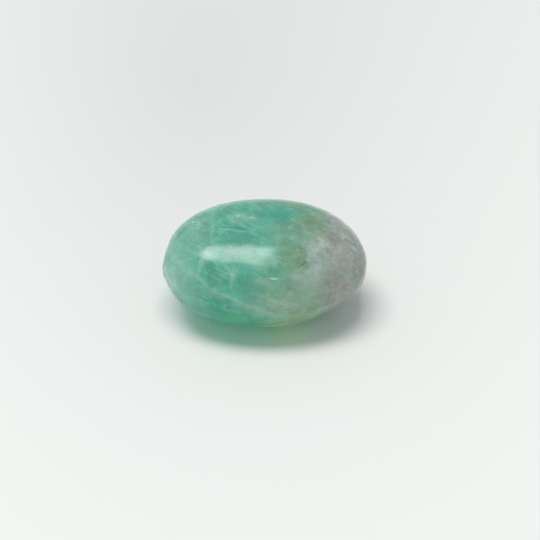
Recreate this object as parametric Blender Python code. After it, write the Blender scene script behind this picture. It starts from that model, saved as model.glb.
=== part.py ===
"""Tumbled fluorite: one polished pebble, 30 mm long, lying on its broad side.

Metres, +Z up. The origin is on the ground under the middle of the stone, its
length runs along X and its thickness along Z.

The pebble is a rounded ellipsoid that a tumbling barrel wore unevenly: soft
flats where it rubbed most, low swells and shallow hollows over the rest, and
one small true flat underneath that it rests on.
"""

import math

import bmesh
import bpy
from mathutils import Vector

NAME = "fluorite"
COLLECTION = "tumbled_fluorite"
MM = 0.001

# Driving dimensions of the finished stone
LENGTH = 29.9 * MM
DEPTH = 21.6 * MM
THICKNESS = 16.2 * MM
REST_WEAR = 0.18 * MM  # ground off the lowest point, which leaves the flat it rests on

# 2 is a plain ellipsoid. More than 2 fills out its shoulders.
FULLNESS = 2.14

# The sphere that is shaped: an icosahedron split four times, about 5100 triangles
SPHERE_SPLITS = 5

# Each is: the way it faces, its height (below zero it is a hollow), its reach in degrees
SWELLS = {
    "low_left_swell": ((-0.60, -0.48, -0.64), 0.41 * MM, 24.0),
    "left_nose_swell": ((-1.00, -0.06, -0.08), 0.31 * MM, 18.0),
    "back_left_swell": ((-0.62, 0.60, -0.50), 0.20 * MM, 24.0),
    "right_shoulder_hollow": ((0.50, 0.52, 0.69), -0.24 * MM, 20.0),
    "right_end_hollow": ((0.88, 0.28, 0.38), -0.36 * MM, 18.0),
}

# Each is: the way it faces, how deep it is worn in, how softly it rounds off at its rim
WORN_FLATS = {
    "low_right_flat": ((0.44, -0.54, -0.72), 0.26 * MM, 0.50 * MM),
    "left_end_flat": ((-0.97, 0.15, 0.19), 0.09 * MM, 0.30 * MM),
    "back_flat": ((0.38, 0.82, -0.42), 0.32 * MM, 0.35 * MM),
}

BODY_COLOUR = (0.155, 0.375, 0.270, 1.0)
BODY_ROUGHNESS = 0.15
BODY_TRANSMISSION = 0.3
FLUORITE_IOR = 1.434


def clear_scene():
    """Removes every object that the file opened with."""
    for old in list(bpy.data.objects):
        bpy.data.objects.remove(old, do_unlink=True)


def new_collection(name):
    """A collection of that name, linked to the scene."""
    collection = bpy.data.collections.new(name)
    bpy.context.scene.collection.children.link(collection)
    return collection


def polished_fluorite():
    """The stone's own material: a glossy, slightly see-through green."""
    material = bpy.data.materials.new("polished_fluorite")
    material.use_nodes = True
    shader = material.node_tree.nodes["Principled BSDF"]
    shader.inputs["Base Color"].default_value = BODY_COLOUR
    shader.inputs["Roughness"].default_value = BODY_ROUGHNESS
    shader.inputs["Metallic"].default_value = 0.0
    shader.inputs["IOR"].default_value = FLUORITE_IOR
    shader.inputs["Transmission Weight"].default_value = BODY_TRANSMISSION
    return material


def rounded_point(direction, half_sizes):
    """The point of the rounded ellipsoid that lies that way on the unit sphere."""
    reach = sum(abs(part) ** FULLNESS for part in direction) ** (-1.0 / FULLNESS)
    return Vector([part * reach * half for part, half in zip(direction, half_sizes)])


def rounded_normal(point, half_sizes):
    """The outward normal of the rounded ellipsoid at one of its points."""
    slopes = [
        math.copysign(abs(part / half) ** (FULLNESS - 1.0), part) / half
        for part, half in zip(point, half_sizes)
    ]
    return Vector(slopes).normalized()


def swell_at(normal):
    """How far the surface facing that way stands out, or in, through uneven wear."""
    total = 0.0
    for facing, height, reach in SWELLS.values():
        off_centre = 1.0 - normal.dot(Vector(facing).normalized())
        total += height * math.exp(-off_centre / (1.0 - math.cos(math.radians(reach))))
    return total


def shape_pebble(bm):
    """Moves the vertices of a unit sphere onto the rounded ellipsoid and its swells."""
    half_sizes = (LENGTH / 2, DEPTH / 2, THICKNESS / 2)
    for vertex in bm.verts:
        point = rounded_point(vertex.co.normalized(), half_sizes)
        normal = rounded_normal(point, half_sizes)
        vertex.co = point + normal * swell_at(normal)


def wear_flat(bm, facing, depth, softness):
    """Pushes what stands past a plane back onto it, easing in over the softness."""
    outward = Vector(facing).normalized()
    plane = max(vertex.co.dot(outward) for vertex in bm.verts) - depth
    for vertex in bm.verts:
        past = (vertex.co.dot(outward) - plane) / softness
        vertex.co -= outward * softness * math.log1p(math.exp(past))


def grind_rest_flat(bm):
    """Lifts the lowest points to one level, so that the stone has a flat to rest on."""
    level = min(vertex.co.z for vertex in bm.verts) + REST_WEAR
    for vertex in bm.verts:
        vertex.co.z = max(vertex.co.z, level)


def fit_to_size(bm):
    """Scales the stone to its stated size and stands it on the ground over the origin."""
    low = Vector([min(vertex.co[axis] for vertex in bm.verts) for axis in range(3)])
    high = Vector([max(vertex.co[axis] for vertex in bm.verts) for axis in range(3)])
    middle = (low + high) / 2
    size = high - low
    ground = Vector((middle.x, middle.y, low.z))
    bmesh.ops.translate(bm, verts=bm.verts, vec=-ground)
    bmesh.ops.scale(
        bm,
        verts=bm.verts,
        vec=(LENGTH / size.x, DEPTH / size.y, THICKNESS / size.z),
    )


def make_stone(collection):
    """Builds the one solid of the object."""
    bm = bmesh.new()
    bmesh.ops.create_icosphere(bm, subdivisions=SPHERE_SPLITS, radius=1.0)
    shape_pebble(bm)
    for facing, depth, softness in WORN_FLATS.values():
        wear_flat(bm, facing, depth, softness)
    grind_rest_flat(bm)
    fit_to_size(bm)
    bmesh.ops.recalc_face_normals(bm, faces=bm.faces)
    mesh = bpy.data.meshes.new(NAME)
    bm.to_mesh(mesh)
    bm.free()
    mesh.shade_smooth()
    mesh.materials.append(polished_fluorite())
    stone = bpy.data.objects.new(NAME, mesh)
    collection.objects.link(stone)
    return stone


def main():
    clear_scene()
    make_stone(new_collection(COLLECTION))


main()
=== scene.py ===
"""Tumbled fluorite: the polished pebble's surface and banded finish, its stage and its camera.

Metres, +Z up. The origin is on the ground under the middle of the stone, its
length runs along X with the grey end at +X, and its back faces +Y. The finish
is worked out in millimetres, from each point's own place in the stone, so the
bands, veils and clouds run on through it and show the same from every side.
"""

import math

import bmesh
import bpy
from bpy.props import FloatProperty, FloatVectorProperty, PointerProperty
from bpy.types import NodeSocket, Operator, Panel, PropertyGroup
from mathutils import Matrix, Vector, noise


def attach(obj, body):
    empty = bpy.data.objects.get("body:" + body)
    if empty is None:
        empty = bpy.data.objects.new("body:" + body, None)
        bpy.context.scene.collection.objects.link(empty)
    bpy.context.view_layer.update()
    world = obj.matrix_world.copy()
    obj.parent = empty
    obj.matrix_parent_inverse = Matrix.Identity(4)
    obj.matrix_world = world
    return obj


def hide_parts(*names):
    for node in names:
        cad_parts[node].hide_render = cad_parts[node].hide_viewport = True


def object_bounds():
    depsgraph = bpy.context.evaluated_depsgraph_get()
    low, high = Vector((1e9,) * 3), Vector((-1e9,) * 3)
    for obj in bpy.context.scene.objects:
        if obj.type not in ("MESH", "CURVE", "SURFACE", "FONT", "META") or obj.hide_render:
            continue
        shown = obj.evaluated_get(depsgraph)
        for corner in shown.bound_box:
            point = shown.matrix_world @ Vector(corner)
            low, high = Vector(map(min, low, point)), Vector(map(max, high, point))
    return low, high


bl_info = {
    "name": "Tumbled fluorite",
    "version": (1, 0, 0),
    "blender": (4, 5, 0),
    "location": "3D View > Sidebar > Fluorite",
    "description": "Builds a tumble-polished fluorite pebble on a plain pale stage",
    "category": "Object",
}

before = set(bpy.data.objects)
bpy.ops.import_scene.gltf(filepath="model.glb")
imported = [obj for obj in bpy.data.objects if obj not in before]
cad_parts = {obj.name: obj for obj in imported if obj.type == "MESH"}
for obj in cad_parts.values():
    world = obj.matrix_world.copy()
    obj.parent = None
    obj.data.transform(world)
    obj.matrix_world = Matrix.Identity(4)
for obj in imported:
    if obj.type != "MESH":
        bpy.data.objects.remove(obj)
CAD_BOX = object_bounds()
MIDDLE = (CAD_BOX[0] + CAD_BOX[1]) / 2

MM = 0.001
PER_MM = 1000.0
NODE = "fluorite"
BODY = "root"
STONE_NAME = "tumbled_stone"

# Where the camera is. The markings are laid out as they show from there.
CAMERA_ELEVATION = math.radians(37.0)
CAMERA_DISTANCE = 0.35


# ---- properties


def a_colour(name, description, default):
    """A colour that shows as a swatch in the panel."""
    return FloatVectorProperty(
        name=name, description=description, default=default, subtype="COLOR", size=3, min=0.0, max=1.0
    )


def a_number(name, description, default, **limits):
    """A number that isn't below zero."""
    return FloatProperty(name=name, description=description, default=default, min=0.0, **limits)


def a_share(name, description, default):
    """A number from zero to one."""
    return a_number(name, description, default, max=1.0, subtype="FACTOR")


def a_length(name, description, default):
    """A length in metres."""
    return a_number(name, description, default, precision=5, unit="LENGTH", subtype="DISTANCE")


class FluoriteColours(PropertyGroup):
    """The colours that run through the stone, with some that are painted light: bounce, glow, glints
    and shade on the rims.
    """

    sea_green: a_colour("Sea green", "Body of the green end", (0.135, 0.420, 0.322))
    milky_green: a_colour("Milky green", "Where the green is cloudy", (0.22, 0.465, 0.38))
    pale_green: a_colour("Pale green", "Brighter green, low down", (0.17, 0.51, 0.40))
    # Also painted bounce light: on the nose this green stands in for light from the bright floor.
    bright_green_and_bounce: a_colour("Bright green", "Brightest green, in the left end", (0.29, 0.60, 0.50))
    # Painted bounce light: a whitish glow for the floor's light along the left end's lower edge.
    painted_bounce_white: a_colour("Nose white", "Milky glow along the left end", (0.46, 0.70, 0.62))
    vivid_green: a_colour("Vivid green", "Purest green, low down", (0.005, 0.45, 0.32))
    clear_green: a_colour("Clear green", "Where the green is clearest", (0.064, 0.370, 0.278))
    # Along the rims this green is painted shade: it darkens them to offset the room's reflection.
    # Elsewhere it is the stone's own darkest green.
    dim_green_and_rim_shade: a_colour("Dim green", "Darkest green, along the crest's rim", (0.06, 0.26, 0.19))
    deep_green: a_colour("Deep green", "Richest green, low down", (0.080, 0.45, 0.250))
    sage: a_colour("Sage", "Where the green turns to olive", (0.195, 0.385, 0.29))
    pale_olive: a_colour("Pale olive", "Body of the olive band", (0.295, 0.455, 0.320))
    # Painted glow: yellowish light that comes through low in the olive band.
    olive_painted_glow: a_colour("Olive rim", "Yellowish glow low in that band", (0.30, 0.47, 0.22))
    low_milk: a_colour("Milky olive", "Milky patches in the pale olive", (0.40, 0.54, 0.42))
    olive: a_colour("Olive", "Darkest patches of that band", (0.185, 0.330, 0.215))
    grey: a_colour("Grey", "Body of the grey end", (0.36, 0.395, 0.355))
    taupe: a_colour("Taupe", "Brownish mottles in the grey end", (0.285, 0.305, 0.26))
    pink: a_colour("Pink", "Faint pink of the grey end", (0.41, 0.375, 0.365))
    lilac: a_colour("Lilac", "Lilac cast on the grey end", (0.345, 0.410, 0.41))
    # Along the end's rim this grey is painted shade: it darkens the rim to offset the room's
    # reflection. It also darkens the grey end's fine mottles.
    dim_lilac: a_colour("Dim lilac", "Clearer grey along the end's rim", (0.255, 0.281, 0.284))
    cloud: a_colour("Cloud", "Whitish clouds beside the olive band", (0.46, 0.54, 0.52))
    veil: a_colour("Veil", "Whitish healed cracks in the green", (0.38, 0.59, 0.50))
    rosy_veil: a_colour("Rosy veil", "Healed cracks with a pinkish cast", (0.36, 0.48, 0.42))
    shade: a_colour("Shade", "Dark open cracks in the green", (0.05, 0.24, 0.18))
    rust: a_colour("Rust", "Thin brown film in a crack", (0.14, 0.19, 0.11))
    speck: a_colour("Speck", "Tiny pale inclusions", (0.52, 0.68, 0.61))
    # Painted glint: the lamp's flash in a small crack by the chip.
    glint: a_colour("Glint", "Small cracks that flash in the light", (0.76, 0.84, 0.76))


class FluoriteFinish(PropertyGroup):
    """How clear and how well polished the stone is."""

    clearness: a_share("Clearness", "Share of light that passes through the clear parts", 0.30)
    cloudiness: a_share("Cloudiness", "Share that still passes through the milky parts", 0.05)
    absorption_colour: a_colour("Absorption colour", "What the stone lets pass", (0.45, 0.92, 0.80))
    absorption: a_number("Absorption", "How fast the stone takes light away, per metre", 40.0)
    polish: a_share("Roughness", "Roughness of the tumbled polish", 0.13)
    glow_depth: a_length("Glow depth", "How far light wanders inside the stone", 10 * MM)


class FluoriteGlow(PropertyGroup):
    """The lamps' light that comes out underneath and tints the floor."""

    let_in: a_share("Let in", "Share of the lamps' light that gets into the stone", 0.345)
    green: a_colour("Green glow", "What the green end lets out", (0.0, 0.48, 0.26))
    thin: a_colour("Thin glow", "What the thin left end lets out", (0.85, 1.0, 0.95))
    olive: a_colour("Olive glow", "What the olive band lets out", (0.20, 0.52, 0.16))
    grey: a_colour("Grey glow", "What the grey end lets out", (0.12, 0.11, 0.14))


class FluoriteStage(PropertyGroup):
    """The floor, the light and the camera."""

    # Painted shade: the floor's colour where it is dimmest, behind the stone, in place of the light
    # falling off there.
    floor_painted_dim: a_colour("Floor behind", "The floor where it is dimmest", (0.675, 0.675, 0.685))
    floor_around: a_colour("Floor around", "The floor where it is palest", (0.835, 0.84, 0.83))
    lamp_height: a_length("Lamp height", "Height of the lamps above the floor", 0.5)
    key_power: a_number("Key power", "Power of the shadow's lamp", 2.02, unit="POWER")
    gloss_power: a_number("Gloss power", "Power of the polish's lamps", 2.41, unit="POWER")
    lamp_colour: a_colour("Lamp colour", "Colour of the lamps' light", (1.0, 0.995, 0.955))
    room_colour: a_colour("Room colour", "Colour of the room's light", (0.93, 0.985, 1.0))
    horizon_light: a_number("Horizon light", "Brightness of the room low down", 0.68)
    ceiling_light: a_number("Ceiling light", "Brightness of the room overhead", 0.47)
    right_dimming: a_share("Right dimming", "How much dimmer the room is on the right", 0.24)
    camera_elevation: a_number(
        "Camera elevation", "How far the camera looks down", CAMERA_ELEVATION,
        unit="ROTATION", subtype="ANGLE",
    )
    camera_distance: a_length("Camera distance", "From the camera to the stone", CAMERA_DISTANCE)


# ---- stone surface


WELD_DISTANCE = 1e-6
SPLITS = 2  # how many times every face is split
MARK_CUTS = 2  # how many times an edge near a mark is cut again
FINE_REACH = 3.0  # how many half widths from a mark those edges lie
MARK_REACH = 4.0  # how many half widths from its middle line a mark goes on
MARK_END = 0.04  # share of a mark's length, at each end, that gets no shallower
WORN_ABOVE = 0.3  # height in mm above which the surface is worn, so that the stone still lies flat


def new_object(name, data):
    """A new object in the scene, made of that data."""
    made = bpy.data.objects.new(name, data)
    bpy.context.scene.collection.objects.link(made)
    return made


def node_mesh_copy():
    """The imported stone's mesh, welded, as a new object that can be worked on."""
    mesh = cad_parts[NODE].data.copy()
    mesh.name = STONE_NAME
    mesh.materials.clear()
    bm = bmesh.new()
    bm.from_mesh(mesh)
    bmesh.ops.remove_doubles(bm, verts=bm.verts, dist=WELD_DISTANCE)
    bm.to_mesh(mesh)
    bm.free()
    return new_object(STONE_NAME, mesh)


def apply_modifiers(stone):
    """Turns what the modifiers make into the object's own mesh."""
    depsgraph = bpy.context.evaluated_depsgraph_get()
    made = bpy.data.meshes.new_from_object(stone.evaluated_get(depsgraph))
    old = stone.data
    stone.modifiers.clear()
    stone.data = made
    bpy.data.meshes.remove(old)
    made.name = STONE_NAME


def refine(stone):
    """Splits the faces, so that the surface can carry fine waves and cracks."""
    split = stone.modifiers.new("refine", "SUBSURF")
    split.levels = SPLITS
    split.render_levels = SPLITS
    apply_modifiers(stone)


# Low waves of the surface: the length and the height of each, in mm
WAVES = ((5.0, 0.030), (2.2, 0.010), (0.8, 0.0045), (0.4, 0.0012))

# Slight wear and fullness of the rim: the way it faces, its height in mm and its reach in degrees
RIM_WEAR = {
    "low_left_wear": ((-0.715, -0.421, -0.558), -0.24, 24.0),
    "upper_right_fullness": ((0.36, 0.56, 0.75), 0.15, 16.0),
    "right_end_fullness": ((0.91, 0.25, 0.33), 0.14, 18.0),
    "upper_left_fullness": ((-0.36, 0.56, 0.75), 0.05, 15.0),
}

# Marks in the polish, in mm as they show from the front: start, end, half width, depth
MARKS = {
    "open_crack_left": ((-7.5, 5.3), (-4.7, 5.2), 0.12, 0.014),
    "open_crack_right": ((-4.9, 5.2), (-1.8, 4.6), 0.12, 0.018),
    "hair_crack": ((-3.6, 2.7), (-3.8, -0.6), 0.08, 0.040),
    "chip": ((0.8, -2.6), (2.0, -2.7), 0.15, 0.070),
    "crest_nick": ((-2.2, 6.6), (-1.5, 6.5), 0.14, 0.015),
    "crest_nick_left": ((-4.1, 6.8), (-3.8, 6.7), 0.14, 0.015),
    "olive_crack": ((4.8, -0.9), (6.2, -0.1), 0.11, 0.030),
    "end_crack": ((9.8, -6.0), (11.8, -3.4), 0.16, 0.040),
    "end_crack_short": ((10.6, -5.8), (12.0, -4.4), 0.15, 0.030),
    "low_crack": ((-12.0, -0.9), (-9.6, -2.2), 0.16, 0.025),
}


def wave_height(place):
    """How far the tumbled surface stands out at a place, both in mm."""
    return sum(height * noise.noise(place / length) for length, height in WAVES)


def rim_height(normal):
    """How far the surface that faces that way stands out through the rim's wear, in mm."""
    total = 0.0
    for facing, height, reach in RIM_WEAR.values():
        off_centre = 1.0 - normal.dot(Vector(facing).normalized())
        total += height * math.exp(-off_centre / (1.0 - math.cos(math.radians(reach))))
    return total


def mark_spans():
    """Each mark's two ends, its half width, its depth, and a ball that holds it, all in mm."""
    for start, end, half_width, depth in MARKS.values():
        ends = (seen(*start)[0], seen(*end)[0])
        middle = (ends[0] + ends[1]) / 2
        near = (ends[0] - ends[1]).length / 2 + MARK_REACH * half_width
        yield ends, half_width, depth, middle, near


def off_line(place, start, end):
    """How far a place lies off a line, and how far along it, from zero to one."""
    run = end - start
    share = min(max((place - start).dot(run) / run.length_squared, 0.0), 1.0)
    return (place - start - run * share).length, share


def refine_marks(stone):
    """Splits the faces near each mark again, so that its flanks are smooth."""
    bm = bmesh.new()
    bm.from_mesh(stone.data)
    edges = set()
    for ends, half_width, _, middle, near in mark_spans():
        for edge in bm.edges:
            place = (edge.verts[0].co + edge.verts[1].co) / 2 * PER_MM
            if (place - middle).length < near and off_line(place, *ends)[0] < FINE_REACH * half_width:
                edges.add(edge)
    bmesh.ops.subdivide_edges(bm, edges=list(edges), cuts=MARK_CUTS, use_grid_fill=True)
    bmesh.ops.triangulate(bm, faces=bm.faces)
    bm.to_mesh(stone.data)
    bm.free()


def mark_depth(place, start, end, half_width, depth):
    """How deep a mark between two points goes at a place, all in mm."""
    aside, share = off_line(place, start, end)
    taper = math.sin(math.pi * min(max(share, MARK_END), 1.0 - MARK_END)) ** 0.5
    return depth * taper * math.exp(-((aside / half_width) ** 2))


def wear_surface(stone):
    """Gives the polished surface its slight unevenness, its cracks and its chip."""
    mesh = stone.data
    normals = [vertex.normal.copy() for vertex in mesh.vertices]
    places = [vertex.co * PER_MM for vertex in mesh.vertices]
    depths = [0.0] * len(places)
    for ends, half_width, depth, middle, near in mark_spans():
        for index, place in enumerate(places):
            if (place - middle).length < near:
                depths[index] += mark_depth(place, *ends, half_width, depth)
    for vertex, normal, place, depth in zip(mesh.vertices, normals, places, depths):
        if place.z > WORN_ABOVE:
            height = wave_height(place) + rim_height(normal) - depth
            vertex.co = vertex.co + normal * height * MM
    mesh.update()
    mesh.shade_smooth()


# ---- node shorthand


def fill(tree, node, values):
    """Puts values on a node's inputs, or links where they come from other nodes."""
    for key, value in values.items():
        if isinstance(value, NodeSocket):
            tree.links.new(value, node.inputs[key])
        else:
            node.inputs[key].default_value = value


def put(tree, kind, values=None, **settings):
    """Adds a node, with its settings, and values or links on its inputs."""
    node = tree.nodes.new(kind)
    for name, setting in settings.items():
        setattr(node, name, setting)
    fill(tree, node, values or {})
    return node


def maths(tree, operation, first, second=0.0, third=0.0):
    """One sum on up to three numbers."""
    return put(tree, "ShaderNodeMath", {0: first, 1: second, 2: third}, operation=operation).outputs[0]


def vector_maths(tree, operation, first, second=(0.0, 0.0, 0.0)):
    """One sum on two vectors that gives a vector."""
    return put(tree, "ShaderNodeVectorMath", {0: first, 1: second}, operation=operation).outputs[0]


def vector_number(tree, operation, first, second=(0.0, 0.0, 0.0)):
    """One sum on vectors that gives a number."""
    node = put(tree, "ShaderNodeVectorMath", {0: first, 1: second}, operation=operation)
    return node.outputs["Value"]


def turned_back(tree, vector, turn):
    """A vector as it lies in something that is turned that way."""
    node = put(
        tree, "ShaderNodeVectorRotate", {"Vector": vector, "Rotation": turn},
        rotation_type="EULER_XYZ", invert=True,
    )
    return node.outputs[0]


def ease(tree, value, start, end):
    """Zero before the start and one after the end, and smooth between them."""
    node = put(
        tree, "ShaderNodeMapRange", {"Value": value, "From Min": start, "From Max": end},
        interpolation_type="SMOOTHSTEP",
    )
    return node.outputs["Result"]


def blend_numbers(tree, amount, low, high):
    """A number between two others."""
    node = put(tree, "ShaderNodeMix", {0: amount, 2: low, 3: high}, data_type="FLOAT")
    return node.outputs[0]


def blend_colours(tree, amount, under, over):
    """A colour between two others."""
    node = put(tree, "ShaderNodeMix", {0: amount, 6: under, 7: over}, data_type="RGBA")
    return node.outputs[2]


def cloudy(tree, place, size, detail, roughness):
    """A noise whose lumps are about that big, as a number and as a colour."""
    values = {"Vector": place, "Scale": 1.0 / size, "Detail": detail, "Roughness": roughness}
    return put(tree, "ShaderNodeTexNoise", values).outputs


def new_material(name):
    """A new material, its tree and its shader."""
    material = bpy.data.materials.new(name)
    material.use_nodes = True
    tree = material.node_tree
    return material, tree, tree.nodes["Principled BSDF"]


def turn_to(facing, along):
    """The turn that takes Z to a facing and X as near as it can to a run."""
    up = Vector(facing).normalized()
    side = up.cross(Vector(along)).normalized()
    run = side.cross(up)
    return tuple(Matrix((run, side, up)).transposed().to_euler("XYZ"))


# ---- pattern node groups


LAYER_ROUGHNESS = 0.55


def new_group(name, vectors, numbers, output):
    """An empty node group with those inputs and one number as its output."""
    group = bpy.data.node_groups.new(name, "ShaderNodeTree")
    for title in vectors:
        group.interface.new_socket(title, in_out="INPUT", socket_type="NodeSocketVector")
    for title in numbers:
        group.interface.new_socket(title, in_out="INPUT", socket_type="NodeSocketFloat")
    group.interface.new_socket(output, in_out="OUTPUT", socket_type="NodeSocketFloat")
    given = group.nodes.new("NodeGroupInput").outputs
    way_out = group.nodes.new("NodeGroupOutput")
    return group, given, way_out.inputs[output]


def patch_group():
    """A soft-edged patch: one inside an ellipsoid, zero outside, and ragged between."""
    vectors = ("Place", "Centre", "Turn", "Reach")
    numbers = ("Grain", "Gaps", "Softness", "Raggedness")
    group, given, made = new_group("soft patch", vectors, numbers, "Patch")
    off_centre = vector_maths(group, "SUBTRACT", given["Place"], given["Centre"])
    turned = turned_back(group, off_centre, given["Turn"])
    share = vector_maths(group, "DIVIDE", turned, given["Reach"])
    length = vector_number(group, "LENGTH", share)
    torn = maths(group, "MULTIPLY", given["Grain"], given["Raggedness"])
    distance = maths(group, "ADD", length, torn)
    inner = maths(group, "SUBTRACT", 1.0, given["Softness"])
    outer = maths(group, "ADD", 1.0, given["Softness"])
    inside = maths(group, "SUBTRACT", 1.0, ease(group, distance, inner, outer))
    whole = maths(group, "SUBTRACT", 1.0, given["Gaps"])
    group.links.new(maths(group, "MULTIPLY", inside, whole), made)
    return group


def layer_group():
    """Thin parallel layers: a noise that is drawn out along a plane."""
    vectors = ("Place", "Turn", "Stretch")
    group, given, made = new_group("grown layers", vectors, ("Detail",), "Layers")
    turned = turned_back(group, given["Place"], given["Turn"])
    share = vector_maths(group, "DIVIDE", turned, given["Stretch"])
    grown = cloudy(group, share, 1.0, given["Detail"], LAYER_ROUGHNESS)
    group.links.new(grown["Fac"], made)
    return group


# ---- places on the stone


FRONT = 0.0  # the azimuth of an eye in front of the stone, and of one behind it
BACK = math.pi


def look(azimuth, elevation=CAMERA_ELEVATION):
    """The right, up and forward directions of an eye that looks down at the stone from one side."""
    right = Vector((math.cos(azimuth), math.sin(azimuth), 0.0))
    level = Vector((-math.sin(azimuth), math.cos(azimuth), 0.0))
    forward = level * math.cos(elevation) - Vector((0.0, 0.0, 1.0)) * math.sin(elevation)
    return right, right.cross(forward), forward


def seen(across, up, azimuth=FRONT):
    """The point of the stone that shows that many mm right of and above its middle, and its normal."""
    to_right, to_top, forward = look(azimuth)
    eye = MIDDLE - forward * CAMERA_DISTANCE
    aim = MIDDLE + (to_right * across + to_top * up) * MM
    hit, point, normal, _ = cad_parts[NODE].ray_cast(eye, (aim - eye).normalized())
    if not hit:
        raise ValueError(f"Nothing of the stone shows at {across}, {up} mm")
    return point * PER_MM, normal


def laid_on(direction, normal, forward):
    """The direction along the surface that shows as the given one."""
    return direction - forward * (direction.dot(normal) / forward.dot(normal))


# ---- the pattern


# Bands: which way each edge faces, how far out it lies, and how wide it blends, in mm
GLOW_OLIVE_EDGE = ((1.0, 0.0, 0.0), -1.0, 8.0)
GLOW_GREY_EDGE = ((1.0, 0.0, 0.0), 6.5, 8.0)
GLOW_THIN_EDGE = ((-1.0, 0.0, 0.0), 11.7, 4.4)
OLIVE_EDGE = ((0.909, -0.389, -0.149), 3.0, 4.0)
GREY_EDGE = ((0.859, -0.278, 0.430), 12.9, 2.5)

FRAY_REACH = 5.0  # how far a frayed edge moves for each whole step of its noise, in mm

# The layers that grew in the crystal face about one way, and run on along the other
LAYERS_FACE = (0.36, 0.48, 0.80)
LAYERS_RUN = (0.9, -0.4, 0.0)

# Grown layers: their length, width and thickness in mm, and how finely they break up
LAYERS = {
    "broad": ((7.0, 5.0, 1.1), 2.0),
    "fine": ((4.5, 3.0, 0.50), 1.0),
}

# Noises: the size of their lumps in mm, and how finely they break up
NOISES = {
    "milk": (3.5, 3.0),
    "runs": (5.0, 2.0),
    "pools": (4.0, 2.0),
    "lumps": (1.5, 4.0),
    "cotton": (0.55, 4.0),
    "grit": (0.28, 2.0),
    "speckle": (0.30, 1.0),
    "scuffs": (0.45, 4.0),
}
NOISE_MIDDLE = 0.5
NOISE_ROUGHNESS = 0.6

# Ways that places are pushed about: the size of the lumps, and the whole span of the push, in mm
BEND = (2.6, 0.9)
SWAY = (9.0, 1.8)
BROAD_WARP = (6.0, 2.4)
CLOSE_WARP = (1.6, 0.7)
WARP_DETAIL = 2.0
WARP_ROUGHNESS = 0.5

# Holes in patches and in streaks: the noise where one starts, where it is whole, and how much of
# the patch is missing there
GAPS = (0.58, 0.42, 0.40)
TEARS = (0.10, -0.10, 0.35)

PATCH_DEPTH = 3.0  # how deep a patch reaches into the stone, in mm
PATCH_SOFTNESS = 0.55
STREAK_SOFTNESS = 0.8
RAGGEDNESS = 1.2

MILKY = (0.36, 0.66)  # the noise where the green starts to be milky, and where it is milkiest
MILK_STRENGTH = 0.25
VEINED = (0.40, 0.62)  # the noise where the green starts to be veined, and where it is most veined
VEIN_STRENGTHS = (0.05, 0.24)

MOTTLE_SPREAD = 0.16  # how far from a noise's middle a mottle is whole

# Mottles under each part's patches and over them: the noise, the colours where it is low and where
# it is high, how strong they are, and the spread where it isn't the usual one
GREEN_UNDER = (("broad", "clear_green", "pale_green", 0.35),)
GREEN_OVER = (
    ("cotton", "clear_green", "rosy_veil", 0.18),
    ("grit", "clear_green", "veil", 0.15),
)
OLIVE_UNDER = (("broad", "sage", "low_milk", 0.40),)
OLIVE_OVER = (
    ("fine", "sage", "low_milk", 0.25),
    ("cotton", "olive", "cloud", 0.28),
    ("grit", "olive", "low_milk", 0.25),
)
GREY_UNDER = (("pools", "taupe", "lilac", 0.60),)
GREY_OVER = (
    ("lumps", "taupe", "cloud", 0.50),
    ("cotton", "taupe", "cloud", 0.36, 0.18),
    ("grit", "dim_lilac", "cloud", 0.24),
)

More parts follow.
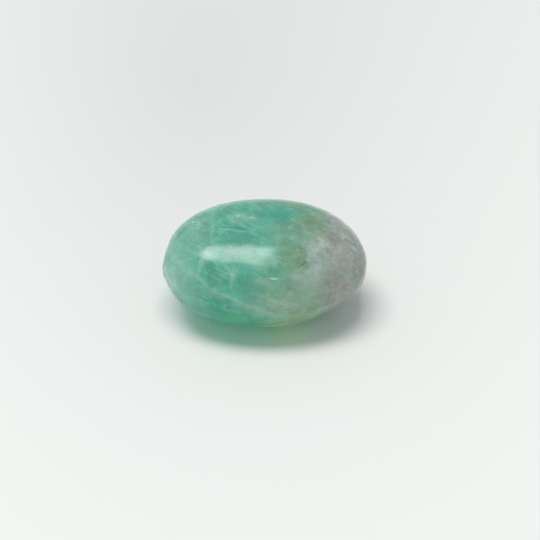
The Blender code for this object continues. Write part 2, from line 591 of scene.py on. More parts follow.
# Patches that show from the front. Each is: its colour, its strength, its middle in mm right of
# and above the stone's middle, its half width and half height, and its turn in degrees.
BODY_AREAS = {
    "left_milk": ("milky_green", 0.95, (-11.9, 1.8), (3.2, 4.1), 0),
    "left_high_pale": ("bright_green_and_bounce", 0.35, (-11.8, 2.9), (1.2, 1.4), 0),
    # Painted bounce light: these nose patches stand in for light from the bright floor on the left
    # end's lower edge.
    "nose_painted_bounce_green": ("bright_green_and_bounce", 0.90, (-12.6, -2.7), (2.2, 2.4), -30),
    "nose_painted_bounce": ("painted_bounce_white", 0.90, (-13.8, -2.7), (2.2, 0.8), -57),
    "nose_painted_bounce_faint": ("painted_bounce_white", 0.25, (-13.7, -1.5), (0.9, 1.5), 0),
    "left_calm": ("sea_green", 0.60, (-9.9, -1.2), (1.6, 2.2), -20),
    "left_low_calm": ("clear_green", 0.45, (-9.5, -2.3), (0.9, 1.5), 0),
    "left_fleck_pale": ("bright_green_and_bounce", 0.45, (-11.9, -3.0), (1.0, 0.6), -30),
    "low_band_pale": ("bright_green_and_bounce", 0.40, (-6.6, -7.0), (2.4, 0.4), -8),
    "lower_left_pale": ("bright_green_and_bounce", 0.62, (-8.2, -5.5), (3.2, 1.0), -18),
    "lowest_left_pale": ("bright_green_and_bounce", 1.00, (-8.9, -6.3), (2.5, 0.8), -20),
    "front_pale": ("bright_green_and_bounce", 0.85, (-6.4, -4.9), (1.2, 0.7), -20),
    "stem_vivid": ("vivid_green", 0.35, (-5.0, -3.9), (0.8, 1.3), 0),
    "low_pale": ("pale_green", 0.80, (-4.0, -5.6), (3.4, 1.0), -18),
    "low_pale_on": ("bright_green_and_bounce", 0.90, (-1.9, -7.8), (1.4, 0.7), 0),
    "middle_pale": ("pale_green", 0.70, (-2.5, -3.7), (1.7, 1.9), -10),
    "middle_pale_low": ("pale_green", 0.65, (-1.2, -5.0), (1.5, 1.6), -10),
    "smooth_green": ("sea_green", 0.95, (-6.6, 6.4), (2.4, 1.7), 0),
    "upper_calm": ("sea_green", 0.90, (0.2, 4.4), (4.6, 2.2), -8),
    "crest_calm": ("clear_green", 0.60, (-2.0, 6.7), (3.2, 1.5), -4),
    "crest_dim": ("dim_green_and_rim_shade", 0.20, (-2.6, 6.3), (3.2, 1.4), -6),
    "crest_window": ("clear_green", 1.00, (2.4, 7.1), (3.7, 1.5), -12),
    "crest_vivid": ("vivid_green", 0.75, (4.6, 8.1), (2.6, 0.9), -14),
    # Painted shade: the crest's and the left end's rims are darkened to offset the room's reflection
    # on them.
    "crest_shade": ("clear_green", 1.00, (-0.4, 8.5), (9.0, 0.9), 0),
    "crest_rim_painted_shade": ("dim_green_and_rim_shade", 0.80, (2.0, 8.7), (4.2, 0.5), -3),
    "left_rim_painted_shade": ("dim_green_and_rim_shade", 0.70, (-10.5, 6.0), (2.6, 0.6), 38),
    "crack_window": ("clear_green", 0.50, (-6.2, 5.3), (2.0, 0.7), 0),
    "standing_window": ("clear_green", 0.45, (-7.4, 4.6), (1.7, 1.3), 0),
    "brow_window_right": ("clear_green", 0.55, (-0.2, 4.6), (2.6, 1.2), -8),
    # Painted shade: darkens the strip just under the lamp's reflection, to trim its lower fringe.
    "under_highlight_painted_shade": ("clear_green", 0.45, (-5.8, -0.8), (3.6, 0.7), -3),
    "brow_window": ("clear_green", 0.60, (-4.3, 3.9), (3.1, 1.0), -4),
    "wedge_window": ("dim_green_and_rim_shade", 0.50, (-8.1, -1.1), (1.6, 1.3), -25),
    "fork_window": ("clear_green", 0.55, (-4.4, -1.5), (2.4, 1.1), -10),
    "front_window": ("clear_green", 0.35, (-6.2, -2.8), (2.4, 1.7), -30),
    "front_green": ("deep_green", 0.20, (-3.6, -3.4), (2.6, 1.2), -20),
    "low_left_green": ("clear_green", 0.40, (-8.7, -7.6), (2.3, 0.9), -18),
    "left_speckle": ("veil", 0.25, (-9.7, 5.6), (1.8, 1.0), -15),
}
OLIVE_AREAS = {
    "low_milk": ("low_milk", 0.75, (2.4, -6.0), (2.2, 1.0), -5),
    "low_right_milk": ("low_milk", 1.00, (4.6, -6.8), (2.4, 0.9), 8),
    "middle_milk": ("low_milk", 0.55, (4.6, -4.8), (2.0, 1.8), 0),
    # Painted glow: yellowish light along the lower rim, where it comes through the stone.
    "low_rim": ("olive_painted_glow", 0.75, (5.5, -8.4), (5.5, 0.7), 12),
}
TRANSITION_AREAS = {
    "upper_sage": ("sage", 0.75, (3.7, 3.6), (2.7, 2.4), -15),
    "middle_sage": ("sage", 0.80, (2.8, -1.7), (2.2, 1.3), -10),
    "low_vivid": ("vivid_green", 0.90, (-5.5, -7.5), (3.6, 1.1), -18),
    "middle_vivid": ("vivid_green", 0.60, (-4.8, -5.4), (1.8, 0.9), -20),
    "low_streak_green": ("vivid_green", 0.45, (-6.2, -5.9), (3.0, 0.4), -8),
    "lowest_vivid": ("vivid_green", 0.50, (-5.6, -8.3), (2.2, 0.6), -14),
    "low_green": ("deep_green", 0.85, (-2.9, -8.6), (4.6, 1.0), -6),
    "low_green_tip": ("deep_green", 0.45, (0.0, -8.9), (1.1, 0.6), 0),
    # Painted glow at the start of the lower rim.
    "low_rim_painted_glow_start": ("olive_painted_glow", 0.35, (-0.3, -9.1), (1.0, 0.5), 0),
    "low_grey_taupe": ("taupe", 0.30, (8.3, -5.9), (2.4, 0.9), 15),
    "end_low_pink": ("pink", 0.30, (11.8, -4.6), (1.4, 1.3), 35),
    "cloud_tip": ("cloud", 0.50, (5.2, -2.1), (1.5, 0.9), 10),
    "right_window": ("clear_green", 0.35, (1.1, 1.8), (1.7, 0.7), -5),
    "right_milk": ("rosy_veil", 0.30, (0.0, 0.2), (1.6, 1.1), -15),
    "glint_window": ("clear_green", 0.65, (1.0, -2.0), (1.6, 0.8), 0),
    "glint_green": ("deep_green", 0.70, (1.4, -3.9), (1.2, 0.8), 0),
    "glint_sage": ("sage", 0.50, (1.5, -3.6), (2.4, 1.3), 0),
    "glint_sage_low": ("sage", 0.60, (2.3, -4.8), (1.2, 0.8), -10),
    "upper_olive_start": ("olive", 0.55, (5.6, 6.4), (1.6, 1.7), 0),
    "upper_olive": ("olive", 1.00, (7.6, 5.6), (1.8, 1.9), -20),
    "front_olive": ("olive", 1.00, (4.6, 0.3), (2.1, 1.4), -18),
    "olive_spur": ("olive", 0.80, (4.9, 2.2), (0.7, 0.6), -20),
    "olive_fleck": ("olive", 0.70, (2.7, 3.0), (0.4, 0.6), 0),
    "far_olive_fleck": ("olive", 0.60, (-9.3, 6.0), (1.0, 0.3), -40),
}
GREY_AREAS = {
    "high_cloud": ("cloud", 0.85, (8.2, 1.8), (2.2, 1.9), -30),
    "cloud_arm": ("cloud", 0.90, (6.1, 2.2), (1.5, 0.4), 5),
    "low_cloud": ("cloud", 0.75, (6.3, -1.6), (2.5, 1.3), 10),
    "wide_cloud": ("cloud", 0.35, (8.6, 0.4), (2.8, 3.2), 0),
    "upper_taupe": ("taupe", 0.45, (10.8, 3.0), (2.0, 1.2), -30),
    "end_pink": ("pink", 0.80, (11.4, 0.3), (2.2, 2.2), 0),
    "end_taupe": ("taupe", 0.50, (11.0, 1.8), (2.2, 1.5), 0),
    "cloud_top_taupe": ("taupe", 0.85, (7.4, 4.2), (1.5, 0.7), -5),
    "high_lilac": ("lilac", 0.60, (10.4, 5.3), (1.4, 0.8), -35),
    "lilac_veil": ("lilac", 0.70, (9.0, -0.4), (0.6, 1.6), -15),
    "olive_taupe": ("taupe", 1.00, (10.8, -3.1), (2.0, 1.0), 10),
    "low_taupe": ("taupe", 1.00, (9.8, -5.2), (2.0, 1.6), 45),
    "pink_veil": ("pink", 0.50, (11.9, -4.0), (1.9, 1.0), 62),
    "lowest_taupe": ("taupe", 0.80, (10.8, -5.5), (1.9, 1.1), 35),
    "low_edge_taupe": ("taupe", 0.90, (9.7, -6.6), (2.8, 0.6), 25),
    # Painted shade: a dark band along the end's lower edge, where it turns under toward the floor.
    "low_end_painted_shade": ("taupe", 0.90, (12.4, -4.7), (2.2, 0.5), 43),
    "end_rim_low": ("lilac", 0.60, (14.0, -1.6), (1.3, 0.6), 78),
    # Painted shade: the end's rims are darkened to offset the room's reflection on them.
    "end_rim": ("dim_lilac", 0.90, (13.9, 1.2), (3.6, 0.8), -78),
    "end_rim_high_painted_shade": ("dim_lilac", 0.90, (13.4, 2.8), (1.6, 0.6), -62),
    "crest_end_rim_painted_shade": ("dim_lilac", 0.70, (9.2, 6.7), (2.2, 0.6), -30),
}

# Streaks: colour, strength, one end, the other end, half width
STREAKS = {
    "crest_veil": ("rosy_veil", 0.32, (-4.3, 6.8), (-0.9, 6.3), 0.60),
    "crest_veil_on": ("rosy_veil", 0.25, (-1.5, 6.0), (5.2, 4.4), 0.45),
    "crest_veil_under": ("rosy_veil", 0.25, (-0.4, 4.9), (5.5, 3.0), 0.30),
    # Painted glints on the crest's two real nicks.
    "crest_flaw": ("speck", 0.50, (-2.3, 6.6), (-1.3, 6.5), 0.13),
    "crest_nick_left_painted_glint": ("speck", 0.45, (-4.2, 6.8), (-3.6, 6.7), 0.13),
    "crack_shade_left": ("shade", 0.60, (-7.5, 5.3), (-4.5, 5.2), 0.11),
    "crack_shade_right": ("shade", 0.50, (-4.9, 5.2), (-2.1, 4.6), 0.10),
    "crack_light": ("veil", 0.60, (-6.4, 5.0), (-3.1, 4.5), 0.10),
    "standing_veil": ("veil", 0.50, (-7.6, 5.5), (-7.8, 2.7), 0.29),
    "leaning_veil": ("veil", 0.65, (-8.6, 1.4), (-9.8, -1.7), 0.32),
    "nose_veil": ("veil", 0.60, (-14.4, 2.2), (-11.5, -1.3), 0.47),
    "long_veil_halo": ("pale_green", 0.60, (-8.0, -4.2), (0.6, -7.6), 0.95),
    "long_veil_bloom": ("veil", 0.50, (-4.2, -5.9), (0.8, -7.7), 0.75),
    "long_veil_1": ("rosy_veil", 0.45, (-12.1, -0.9), (-9.4, -2.4), 0.26),
    "long_veil_2": ("veil", 0.30, (-9.9, -2.1), (-6.7, -4.8), 0.22),
    "long_veil_3": ("veil", 0.80, (-7.5, -4.3), (-2.1, -6.6), 0.20),
    "long_veil_4": ("veil", 0.85, (-3.6, -5.9), (1.1, -7.7), 0.26),
    # Painted glint: the chip's flash of the lamp, laid over its real dent.
    "chip_painted_flash": ("glint", 0.80, (1.0, -2.62), (1.9, -2.70), 0.13),
    "chip_painted_glint_tail": ("glint", 0.35, (0.3, -2.50), (2.2, -2.65), 0.09),
    # Painted highlight: bright streaks in the lamp's reflection near its left tip.
    "light_streak": ("speck", 0.30, (-9.0, 1.7), (-7.2, 0.7), 0.18),
    "painted_highlight_streak_on": ("speck", 0.25, (-7.6, 2.0), (-5.2, 1.6), 0.24),
    "light_fleck": ("veil", 0.30, (-2.6, 0.3), (-1.2, 0.1), 0.20),
    "fork_stem": ("veil", 0.65, (-4.5, -1.1), (-4.9, -3.5), 0.25),
    "fork_left": ("veil", 0.60, (-5.8, -0.4), (-4.5, -2.1), 0.18),
    "fork_right": ("veil", 0.50, (-3.6, -0.9), (-4.6, -2.6), 0.16),
    "low_wisp": ("veil", 0.55, (-5.9, -6.2), (-5.6, -7.1), 0.23),
    "low_wisp_on": ("veil", 0.40, (-5.8, -7.1), (-3.1, -7.3), 0.20),
    "low_wisp_over": ("pale_green", 0.60, (-8.9, -6.6), (-4.4, -6.4), 0.16),
    "low_wisp_under": ("pale_green", 0.50, (-8.4, -7.3), (-5.9, -7.8), 0.16),
    "glint_veil": ("rosy_veil", 0.60, (-1.2, -2.7), (1.8, -3.9), 0.47),
    "contact_line": ("rust", 0.75, (4.8, -0.9), (6.2, -0.1), 0.13),
    "contact_fleck": ("rust", 0.60, (6.2, -0.5), (6.5, -0.8), 0.13),
    # Painted reflection: a pale line where the lower edge shows the bright floor.
    "low_edge_painted_reflection": ("low_milk", 0.40, (2.5, -9.0), (11.2, -6.0), 0.14),
    "end_streak_1": ("pink", 0.80, (10.6, -5.8), (11.9, -3.5), 0.19),
    "end_streak_2": ("pink", 0.80, (9.7, -6.0), (10.5, -4.6), 0.18),
    "end_streak_3": ("pink", 0.80, (11.4, -5.7), (12.8, -3.2), 0.18),
    "end_streak_4": ("pink", 0.60, (10.8, -3.7), (12.4, -2.0), 0.22),
    "hair_line": ("shade", 0.35, (-3.6, 2.5), (-3.8, -0.5), 0.10),
}

# The same two tables for what shows from the back, where the grey end is on the left
BACK_AREAS = {
    "back_pale": ("pale_green", 0.60, (7.0, -2.5), (4.0, 2.0), 15),
    "back_window": ("clear_green", 0.80, (2.5, 1.5), (3.2, 1.8), 10),
    "back_deep": ("deep_green", 0.70, (4.0, -6.5), (5.0, 1.2), 8),
    "back_olive": ("olive", 0.85, (-4.6, 2.5), (2.2, 1.6), 20),
    "back_milk": ("low_milk", 0.60, (-3.2, -4.0), (2.5, 1.3), 10),
    "back_cloud": ("cloud", 0.70, (-8.0, -0.5), (2.2, 2.0), 30),
}
BACK_STREAKS = {
    "back_veil": ("veil", 0.80, (11.0, 1.0), (4.8, -2.4), 0.28),
    "back_veil_on": ("veil", 0.70, (5.4, -2.0), (-1.0, -4.3), 0.32),
    "back_veil_short": ("rosy_veil", 0.50, (6.2, 3.4), (3.4, -0.8), 0.28),
    "back_hair": ("shade", 0.45, (-1.0, 3.6), (1.8, 2.5), 0.12),
}

SPECKLED = (0.60, 0.76)  # the noise where a tiny speck starts, and where it is whole
SPECKLE_STRENGTH = 0.42
SPECK_STRENGTH = 0.55

# Where tiny pale specks crowd: place, half size, turn in degrees
SPECKLED_AREAS = {
    "left_sparkle": ((-9.4, 4.4), (2.4, 2.2), -20),
    "brow_sparkle": ((-5.4, 3.9), (1.7, 0.5), 0),
    "nose_sparkle": ((-12.0, -2.9), (1.1, 0.8), 0),
    "fork_sparkle": ((-4.8, -1.6), (1.1, 1.6), 0),
    "cloud_sparkle": ((8.2, 1.4), (2.6, 2.4), 0),
}

# Single specks: place, half width
SPECKS = {
    "brow_speck": ((-7.1, 3.4), 0.13),
    "crack_speck": ((-2.0, 4.2), 0.12),
    "nose_speck": ((-12.0, -3.0), 0.18),
    "front_speck": ((0.6, -4.8), 0.12),
    "veil_speck": ((-3.9, 6.7), 0.13),
    "crest_speck": ((-1.8, 6.6), 0.14),
    "olive_speck": ((8.0, 6.5), 0.12),
    "sage_speck": ((3.8, 5.1), 0.15),
    "cloud_speck": ((4.8, 1.7), 0.13),
    "left_speck": ((-8.9, 4.6), 0.12),
    "left_speck_low": ((-10.0, 3.7), 0.13),
    "left_speck_lower": ((-9.7, 2.4), 0.12),
    "left_speck_outer": ((-11.1, 4.2), 0.13),
    "left_speck_high": ((-10.4, 5.9), 0.15),
    "left_speck_upper": ((-9.7, 5.0), 0.14),
    "end_speck": ((9.8, -5.1), 0.12),
}


def socket_colour(colour):
    """A property's colour with the fourth number that a socket wants."""
    return (*colour, 1.0)


class Pattern:
    """The tree that the pattern is drawn in, and the values that all of it shares."""

    def __init__(self, tree, colours):
        self.tree = tree
        self.swatch = {
            name: socket_colour(getattr(colours, name)) for name in FluoriteColours.__annotations__
        }
        place = put(tree, "ShaderNodeTexCoord").outputs["Object"]
        self.place = vector_maths(tree, "MULTIPLY", place, (PER_MM, PER_MM, PER_MM))
        self.bent = self.warp(self.place, *BEND)
        self.warped = self.warp(self.warp(self.place, *BROAD_WARP), *CLOSE_WARP)
        self.patch_tree = patch_group()
        self.noises = self.grown_layers()
        for name, (size, detail) in NOISES.items():
            self.noises[name] = cloudy(tree, self.place, size, detail, NOISE_ROUGHNESS)["Fac"]
        lumpy = maths(tree, "ADD", self.noises["lumps"], self.noises["cotton"])
        streaky = maths(tree, "ADD", lumpy, self.noises["fine"])
        self.grain = maths(tree, "SUBTRACT", streaky, 3 * NOISE_MIDDLE)
        self.gaps = self.holes(self.noises["lumps"], *GAPS)
        self.tears = self.holes(self.grain, *TEARS)

    def warp(self, place, size, amount):
        """Places pushed about by up to half that many mm, in lumps of that size."""
        lumps = cloudy(self.tree, place, size, WARP_DETAIL, WARP_ROUGHNESS)["Color"]
        push = vector_maths(self.tree, "SUBTRACT", lumps, (NOISE_MIDDLE,) * 3)
        scaled = vector_maths(self.tree, "MULTIPLY", push, (amount,) * 3)
        return vector_maths(self.tree, "ADD", place, scaled)

    def grown_layers(self):
        """The layers that grew in the crystal, by name."""
        group = layer_group()
        turn = turn_to(LAYERS_FACE, LAYERS_RUN)
        swayed = self.warp(self.place, *SWAY)
        layers = {}
        for name, (stretch, detail) in LAYERS.items():
            values = {"Place": swayed, "Turn": turn, "Stretch": stretch, "Detail": detail}
            node = put(self.tree, "ShaderNodeGroup", values, node_tree=group)
            layers[name] = node.outputs["Layers"]
        return layers

    def holes(self, lumps, start, whole, share):
        """How much of a patch is missing at each place."""
        return maths(self.tree, "MULTIPLY", ease(self.tree, lumps, start, whole), share)

    def patch(self, name, middle, half_size, degrees=0.0, azimuth=FRONT, streak=False):
        """How much of a patch, laid in the surface where it shows from one side, is at each place."""
        to_right, to_top, forward = look(azimuth)
        centre, normal = seen(*middle, azimuth)
        turn = math.radians(degrees)
        along = laid_on(to_right * math.cos(turn) + to_top * math.sin(turn), normal, forward)
        across = laid_on(to_top * math.cos(turn) - to_right * math.sin(turn), normal, forward)
        across = across - along * (across.dot(along) / along.length_squared)
        node = put(
            self.tree, "ShaderNodeGroup",
            {
                "Place": self.bent,
                "Grain": self.grain,
                "Gaps": self.tears if streak else self.gaps,
                "Centre": centre,
                "Turn": turn_to(normal, along),
                "Reach": (half_size[0] * along.length, half_size[1] * across.length, PATCH_DEPTH),
                "Softness": STREAK_SOFTNESS if streak else PATCH_SOFTNESS,
                "Raggedness": RAGGEDNESS,
            },
            node_tree=self.patch_tree, label=name,
        )
        return node.outputs["Patch"]

    def streak(self, name, start, end, half_width, azimuth):
        """A thin patch from one place to another, as they show from one side."""
        run = Vector(end) - Vector(start)
        middle = (Vector(start) + Vector(end)) / 2
        degrees = math.degrees(math.atan2(run.y, run.x))
        return self.patch(name, middle, (run.length / 2, half_width), degrees, azimuth, streak=True)

    def band(self, edge, fray=0.0):
        """Zero before a band's edge and one past it, with an edge that may be frayed."""
        facing, distance, blend = edge
        outward = tuple(Vector(facing).normalized())
        reach = vector_number(self.tree, "DOT_PRODUCT", self.warped, outward)
        frayed = maths(self.tree, "MULTIPLY_ADD", fray, FRAY_REACH, reach)
        return ease(self.tree, frayed, distance - blend / 2, distance + blend / 2)

    def paint(self, under, over, amount, strength=1.0):
        """Lays a colour over another."""
        share = maths(self.tree, "MULTIPLY", amount, strength)
        return blend_colours(self.tree, share, under, over)

    def mottle(self, colour, name, low, high, strength, spread=MOTTLE_SPREAD):
        """Lays one named colour where a noise is low, and another where it is high."""
        for over, whole in ((low, NOISE_MIDDLE - spread), (high, NOISE_MIDDLE + spread)):
            amount = ease(self.tree, self.noises[name], NOISE_MIDDLE, whole)
            colour = self.paint(colour, self.swatch[over], amount, strength)
        return colour


def paint_rows(pattern, colour, rows, draw, azimuth=FRONT):
    """Lays a table's patches or streaks over a colour, one after the other."""
    for name, (over, strength, *form) in rows.items():
        amount = draw(name, *form, azimuth)
        colour = pattern.paint(colour, pattern.swatch[over], amount, strength)
    return colour


def paint_part(pattern, colour, mottles_under, areas, mottles_over):
    """One part of the stone: its patches, with mottles under them and over them."""
    for mottle in mottles_under:
        colour = pattern.mottle(colour, *mottle)
    colour = paint_rows(pattern, colour, areas, pattern.patch)
    for mottle in mottles_over:
        colour = pattern.mottle(colour, *mottle)
    return colour


def paint_specks(pattern, colour):
    """Lays the crowds of tiny specks over a colour, and then the single ones."""
    speck = pattern.swatch["speck"]
    dots = ease(pattern.tree, pattern.noises["speckle"], *SPECKLED)
    for name, (middle, half_size, degrees) in SPECKLED_AREAS.items():
        patch = pattern.patch(name, middle, half_size, degrees)
        crowd = maths(pattern.tree, "MULTIPLY", patch, dots)
        colour = pattern.paint(colour, speck, crowd, SPECKLE_STRENGTH)
    for name, (middle, size) in SPECKS.items():
        patch = pattern.patch(name, middle, (size, size))
        colour = pattern.paint(colour, speck, patch, SPECK_STRENGTH)
    return colour


def draw_pattern(pattern):
    """Draws the stone's colour and its milkiness, and gives both."""
    tree = pattern.tree
    swatch = pattern.swatch
    milk = ease(tree, pattern.noises["milk"], *MILKY)
    veins = blend_numbers(tree, ease(tree, pattern.noises["runs"], *VEINED), *VEIN_STRENGTHS)
    vein_mottle = ("fine", "clear_green", "veil", veins)
    green = pattern.paint(swatch["sea_green"], swatch["milky_green"], milk, MILK_STRENGTH)
    green = paint_part(pattern, green, GREEN_UNDER, BODY_AREAS, (vein_mottle, *GREEN_OVER))
    olive = paint_part(pattern, swatch["pale_olive"], OLIVE_UNDER, OLIVE_AREAS, OLIVE_OVER)
    grey = paint_part(pattern, swatch["grey"], GREY_UNDER, GREY_AREAS, GREY_OVER)
    lumpy = maths(tree, "SUBTRACT", pattern.noises["lumps"], NOISE_MIDDLE)
    colour = pattern.paint(green, olive, pattern.band(OLIVE_EDGE, pattern.grain))
    colour = pattern.paint(colour, grey, pattern.band(GREY_EDGE, lumpy))
    colour = paint_rows(pattern, colour, TRANSITION_AREAS, pattern.patch)
    colour = paint_rows(pattern, colour, BACK_AREAS, pattern.patch, BACK)
    colour = paint_rows(pattern, colour, STREAKS, pattern.streak)
    colour = paint_rows(pattern, colour, BACK_STREAKS, pattern.streak, BACK)
    return paint_specks(pattern, colour), milk


# ---- the finish


FLUORITE_IOR = 1.434
GLOSS = 0.6
LIGHT_WANDERS = (0.7, 1.0, 0.85)  # how far red, green and blue do, as shares of the glow depth
SCUFF_DEPTH = 0.012  # how deep the finest unevenness of the polish is, in mm
DULLED = (-0.12, 0.20)  # the grain where the polish starts to be duller, and where it is dullest
POLISH_RANGE = (-0.05, 0.11)  # how much smoother and rougher it gets there

# Where the polish is dull: place, half size, and how much rougher it is
DULL_AREAS = {
    "brow_dull": ((-5.3, 1.3), (1.7, 1.4), 0.13),
    "end_dull": ((10.6, -4.6), (2.4, 1.4), 0.12),
}


def polished_fluorite(settings):
    """The stone's finish: banded, part clear and part milky, under a tumbled polish."""
    finish = settings.fluorite_finish
    material, tree, shader = new_material("polished_fluorite")
    pattern = Pattern(tree, settings.fluorite_colours)
    colour, milk = draw_pattern(pattern)
    smoothest, roughest = (finish.polish + change for change in POLISH_RANGE)
    rough = blend_numbers(tree, ease(tree, pattern.grain, *DULLED), smoothest, roughest)
    for name, (middle, half_size, added) in DULL_AREAS.items():
        patch = pattern.patch(name, middle, half_size)
        rough = maths(tree, "MULTIPLY_ADD", patch, added, rough)
    scuffed = put(
        tree, "ShaderNodeBump",
        {"Height": pattern.noises["scuffs"], "Strength": 1.0, "Distance": SCUFF_DEPTH * MM},
    )
    values = {
        "Base Color": colour,
        "Transmission Weight": blend_numbers(tree, milk, finish.clearness, finish.cloudiness),
        "Roughness": rough,
        "Normal": scuffed.outputs[0],
        "IOR": FLUORITE_IOR,
        "Specular IOR Level": GLOSS,
        "Subsurface Weight": 1.0,
        "Subsurface Radius": LIGHT_WANDERS,
        "Subsurface Scale": finish.glow_depth,
    }
    fill(tree, shader, values)
    surface = pass_light_on(pattern, shader, settings.fluorite_glow)
    values = {"Surface": surface, "Volume": tint_inside(tree, finish)}
    fill(tree, tree.nodes["Material Output"], values)
    return material


def pass_light_on(pattern, shader, glow):
    """Lets part of the lamps' light through to the floor, tinted where it leaves the stone."""
    tree = pattern.tree
    tint = socket_colour(glow.green)
    for over, edge in (
        (glow.olive, GLOW_OLIVE_EDGE),
        (glow.grey, GLOW_GREY_EDGE),
        (glow.thin, GLOW_THIN_EDGE),
    ):
        tint = pattern.paint(tint, socket_colour(over), pattern.band(edge))
    lit_side = put(tree, "ShaderNodeNewGeometry").outputs["Backfacing"]
    share = pattern.paint(tint, socket_colour((glow.let_in,) * 3), lit_side)
    path = put(tree, "ShaderNodeLightPath")
    through = put(tree, "ShaderNodeBsdfTransparent", {"Color": share})
    shown = put(
        tree, "ShaderNodeMixShader",
        {0: path.outputs["Is Shadow Ray"], 1: shader.outputs[0], 2: through.outputs[0]},
    )
    return shown.outputs[0]


def tint_inside(tree, finish):
    """Takes more of the red away the deeper the light goes."""
    inside = put(
        tree, "ShaderNodeVolumeAbsorption",
        {"Color": socket_colour(finish.absorption_colour), "Density": finish.absorption},
    )
    return inside.outputs[0]


# ---- the stage


FLOOR_WIDTH = 6.0
FLOOR_ROUGHNESS = 0.9
# Painted shade: the floor's colour dims towards this spot behind the stone.
PAINTED_DIM_PLACE = (-0.012, 0.062, 0.0)  # the floor is dimmest there, and pales with the distance from it
PAINTED_DIM_REACH = (0.080, 0.160, 1.0)

# Lamps: how far right of, behind and above the stone, then the two sides, all for each metre of
# height, then the turn in degrees and the share of the group's power. No two lie level, so that
# none hides another.
KEY_LAMPS = {
    "key_softbox": ((-0.16, -0.03, 1.0), (0.68, 0.38), -4.0, 1.0),
}
GLOSS_LAMPS = {
    "gloss_softbox": ((-0.405, -0.037, 0.97), (0.87, 0.53), -19.5, 0.91),
    "gloss_edge": ((-0.795, 0.085, 0.94), (0.24, 0.26), -18.5, 0.100),
    "gloss_corner": ((-0.06, -0.40, 0.91), (0.18, 0.16), -18.5, 0.030),
}
HORIZON_ENDS = math.sin(math.radians(35.0))  # how far up the room's light changes
RIGHT_STARTS = -0.3  # how far to the right it starts to dim

FRAME_WIDTH = 540
SENSOR_WIDTH = 36.0
CLIP_START = 0.01
FOCAL_PIXELS = 2390.9
STONE_CENTRE_PIXEL = (264.43, 262.32)  # where the middle of the stone's box shows in the frame


def make_floor(stage):
    """A matt floor, with painted shade that dims it towards a spot behind the stone."""
    bpy.ops.mesh.primitive_plane_add(size=FLOOR_WIDTH, location=(0, 0, 0))
    floor = bpy.context.active_object
    floor.name = "floor"
    material, tree, shader = new_material("matt_floor")
    place = put(tree, "ShaderNodeTexCoord").outputs["Object"]
    off_dim = vector_maths(tree, "SUBTRACT", place, PAINTED_DIM_PLACE)
    share = vector_maths(tree, "DIVIDE", off_dim, PAINTED_DIM_REACH)
    pale = maths(tree, "MINIMUM", vector_number(tree, "LENGTH", share), 1.0)
    shade = blend_colours(
        tree, pale, socket_colour(stage.floor_painted_dim), socket_colour(stage.floor_around)
    )
    values = {"Base Color": shade, "Roughness": FLOOR_ROUGHNESS, "Specular IOR Level": 0.0}
    fill(tree, shader, values)
    floor.data.materials.append(material)


def make_lamp(name, stage, group_power, aside, sides, degrees, share):
    """A soft rectangular lamp over the stone that faces straight down."""
    height = stage.lamp_height
    data = bpy.data.lights.new(name, "AREA")
    data.shape = "RECTANGLE"
    data.size = sides[0] * height
    data.size_y = sides[1] * height
    data.energy = group_power * share
    data.color = stage.lamp_colour
    lamp = new_object(name, data)
    lamp.location = MIDDLE + Vector(aside) * height
    lamp.rotation_euler = (0.0, 0.0, math.radians(degrees))
    return lamp


def make_lamps(stage):
    """The lamp that casts the soft shadow, and the ones that only show in the polish."""
    for name, row in KEY_LAMPS.items():
        lamp = make_lamp(name, stage, stage.key_power, *row)
        lamp.visible_glossy = False
    for name, row in GLOSS_LAMPS.items():
        lamp = make_lamp(name, stage, stage.gloss_power, *row)
        lamp.visible_diffuse = False
        lamp.visible_transmission = False


def make_room(stage):
    """The room's light: white low down and dimmer overhead."""
    world = bpy.data.worlds.new("studio")
    bpy.context.scene.world = world
    world.use_nodes = True
    tree = world.node_tree
    direction = put(tree, "ShaderNodeTexCoord").outputs["Generated"]
    parts = put(tree, "ShaderNodeSeparateXYZ", {0: direction}).outputs
    overhead = ease(tree, parts["Z"], 0.0, HORIZON_ENDS)
    strength = blend_numbers(tree, overhead, stage.horizon_light, stage.ceiling_light)
    rightward = ease(tree, parts["X"], RIGHT_STARTS, 1.0)
    kept = maths(tree, "MULTIPLY_ADD", rightward, -stage.right_dimming, 1.0)
    strength = maths(tree, "MULTIPLY", strength, kept)
    values = {"Color": socket_colour(stage.room_colour), "Strength": strength}
    fill(tree, tree.nodes["Background"], values)


def make_camera(stage):
    """The camera, looking down on the stone from its front."""
    data = bpy.data.cameras.new("camera")
    camera = new_object("camera", data)
    data.sensor_width = SENSOR_WIDTH
    data.lens = FOCAL_PIXELS * SENSOR_WIDTH / FRAME_WIDTH
    data.clip_start = CLIP_START
    right, up, forward = look(FRONT, stage.camera_elevation)
    metres_per_pixel = stage.camera_distance / FOCAL_PIXELS
    aside = (FRAME_WIDTH / 2 - STONE_CENTRE_PIXEL[0]) * metres_per_pixel
    below = (FRAME_WIDTH / 2 - STONE_CENTRE_PIXEL[1]) * metres_per_pixel
    aim = MIDDLE + right * aside - up * below
    camera.location = aim - forward * stage.camera_distance
    camera.rotation_euler = forward.to_track_quat("-Z", "Y").to_euler()
    bpy.context.scene.camera = camera


# ---- operators and panel


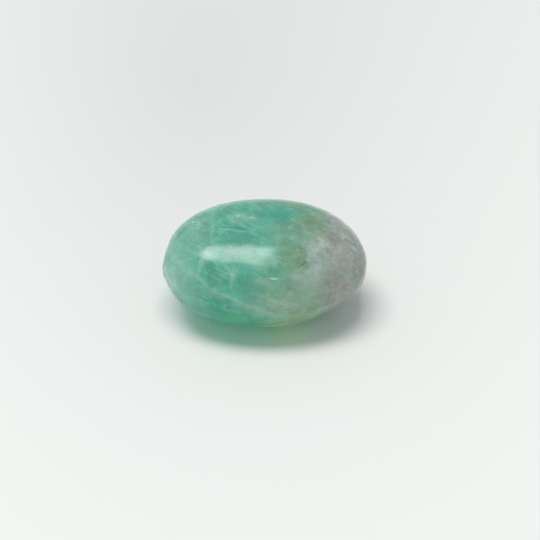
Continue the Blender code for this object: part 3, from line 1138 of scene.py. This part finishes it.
class FLUORITE_OT_stone(Operator):
    """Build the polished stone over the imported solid"""

    bl_idname = "fluorite.stone"
    bl_label = "Tumbled stone"

    def execute(self, context):
        stone = node_mesh_copy()
        refine(stone)
        refine_marks(stone)
        wear_surface(stone)
        stone.data.materials.append(polished_fluorite(context.scene))
        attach(stone, BODY)
        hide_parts(NODE)
        return {"FINISHED"}


class FLUORITE_OT_stage(Operator):
    """Set up the floor, the lamps, the room's light and the camera"""

    bl_idname = "fluorite.stage"
    bl_label = "Stage"

    def execute(self, context):
        stage = context.scene.fluorite_stage
        make_floor(stage)
        make_lamps(stage)
        make_room(stage)
        make_camera(stage)
        context.scene.view_settings.view_transform = "Standard"
        return {"FINISHED"}


class FLUORITE_PT_panel(Panel):
    """The stone's colours, finish and stage"""

    bl_idname = "FLUORITE_PT_panel"
    bl_label = "Tumbled fluorite"
    bl_space_type = "VIEW_3D"
    bl_region_type = "UI"
    bl_category = "Fluorite"

    def draw(self, context):
        layout = self.layout
        for group_name, kind in SETTINGS.items():
            group = getattr(context.scene, group_name)
            box = layout.box()
            for name in kind.__annotations__:
                box.prop(group, name)
        layout.operator(FLUORITE_OT_stone.bl_idname)
        layout.operator(FLUORITE_OT_stage.bl_idname)


CLASSES = (
    FluoriteColours,
    FluoriteFinish,
    FluoriteGlow,
    FluoriteStage,
    FLUORITE_OT_stone,
    FLUORITE_OT_stage,
    FLUORITE_PT_panel,
)
SETTINGS = {
    "fluorite_colours": FluoriteColours,
    "fluorite_finish": FluoriteFinish,
    "fluorite_glow": FluoriteGlow,
    "fluorite_stage": FluoriteStage,
}


def register():
    """Registers the classes and hangs their settings on the scene."""
    for each in CLASSES:
        bpy.utils.register_class(each)
    for name, kind in SETTINGS.items():
        setattr(bpy.types.Scene, name, PointerProperty(type=kind))


def unregister():
    """Takes the settings and the classes away again."""
    for name in SETTINGS:
        delattr(bpy.types.Scene, name)
    for each in reversed(CLASSES):
        bpy.utils.unregister_class(each)


def main():
    """Builds the stone and its stage."""
    register()
    bpy.ops.fluorite.stone()
    bpy.ops.fluorite.stage()


if __name__ == "__main__":
    main()
